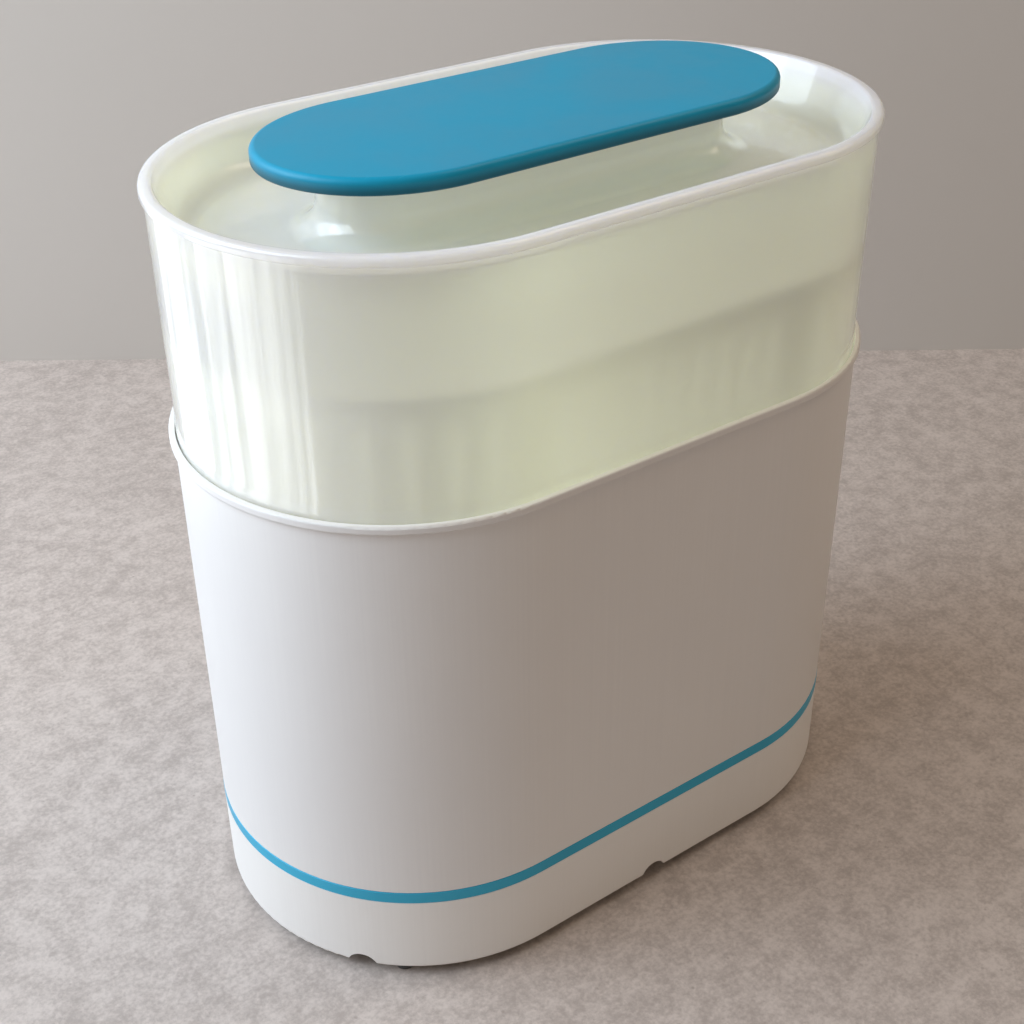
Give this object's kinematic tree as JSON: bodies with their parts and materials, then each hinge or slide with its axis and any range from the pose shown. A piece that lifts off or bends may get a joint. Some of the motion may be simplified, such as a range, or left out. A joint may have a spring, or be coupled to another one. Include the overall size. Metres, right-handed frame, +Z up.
{
  "type": "electric steam sterilizer",
  "caption": "Capsule-shaped steam sterilizer for feeding bottles: heated water base, lift-out baskets and a milky lid with a raised grip plate in its tray.",
  "frame": {"origin": "middle of the plan, on the table under the rubber feet", "axes": "+Z up, X along the capsule's length, the power button faces -Y, the cord inlet and the rear cord notch are at +Y"},
  "size_m": [0.2952, 0.1752, 0.3196],
  "materials": {
    "white_plastic": "satin moulded polypropylene, white",
    "blue_plastic": "satin moulded plastic, medium blue",
    "milky_plastic": "glossy translucent polypropylene, milky with a faint yellow-green cast",
    "grey_rubber": "dark grey moulded rubber",
    "silicone_seal": "red-brown silicone",
    "screw_steel": "zinc-plated steel",
    "polished_steel": "stainless steel, finely brushed",
    "cast_aluminium": "cast aluminium",
    "element_steel": "heat-darkened steel sheath",
    "zinc_steel": "zinc-plated sheet steel",
    "black_plastic": "black moulded plastic",
    "cream_plastic": "cream nylon",
    "circuit_board": "green solder mask",
    "capacitor_sleeve": "dark printed-free sleeve",
    "led_resin": "tinted resin",
    "lens_plastic": "amber tinted clear plastic",
    "blue_lead": "blue silicone insulation",
    "brown_lead": "brown silicone insulation"
  },
  "bodies": {
    "base": {"base_shell": "white_plastic", "trim_ring": "blue_plastic", "bottom_cover": "white_plastic", "rubber_feet": "grey_rubber", "cover_screws": "screw_steel", "cord_gland": "grey_rubber", "terminal_block": "cream_plastic", "heating_plate": "polished_steel", "heater_seal": "silicone_seal", "heat_spreader": "cast_aluminium", "heating_element": "element_steel", "heater_bracket": "zinc_steel", "bracket_screws": "screw_steel", "thermostat": "black_plastic", "thermal_fuse": "element_steel", "control_board": "circuit_board", "power_switch": "black_plastic", "relay": "black_plastic", "filter_capacitor": "capacitor_sleeve", "indicator_led": "led_resin", "indicator_lens": "lens_plastic", "lead_neutral": "blue_lead", "lead_live": "brown_lead", "lead_thermostat": "brown_lead", "lead_heater": "brown_lead"},
    "large_basket": {"large_basket": "white_plastic"},
    "divider_plate": {"divider_plate": "white_plastic"},
    "small_basket": {"small_basket": "white_plastic"},
    "lid": {"lid_shell": "milky_plastic", "handle_plate": "blue_plastic", "handle_screws": "screw_steel", "handle_washers": "screw_steel"},
    "power_button": {"power_button": "blue_plastic", "switch_plunger": "cream_plastic"}
  },
  "joints": [
    {"name": "basket_lift", "type": "slide", "parent": "base", "child": "large_basket", "axis": [0, 0, 1], "range_m": [0, 0.07]},
    {"name": "plate_lift", "type": "slide", "parent": "large_basket", "child": "divider_plate", "axis": [0, 0, 1], "range_m": [0, 0.04]},
    {"name": "small_basket_lift", "type": "slide", "parent": "divider_plate", "child": "small_basket", "axis": [0, 0, 1], "range_m": [0, 0.08]},
    {"name": "lid_lift", "type": "slide", "parent": "small_basket", "child": "lid", "axis": [0, 0, 1], "range_m": [0, 0.1]},
    {"name": "button_press", "type": "slide", "parent": "base", "child": "power_button", "axis": [0, 1, 0], "range_m": [0, 0.0015], "stiffness_N_per_m": 1200, "springref_m": -0.0004}
  ]
}
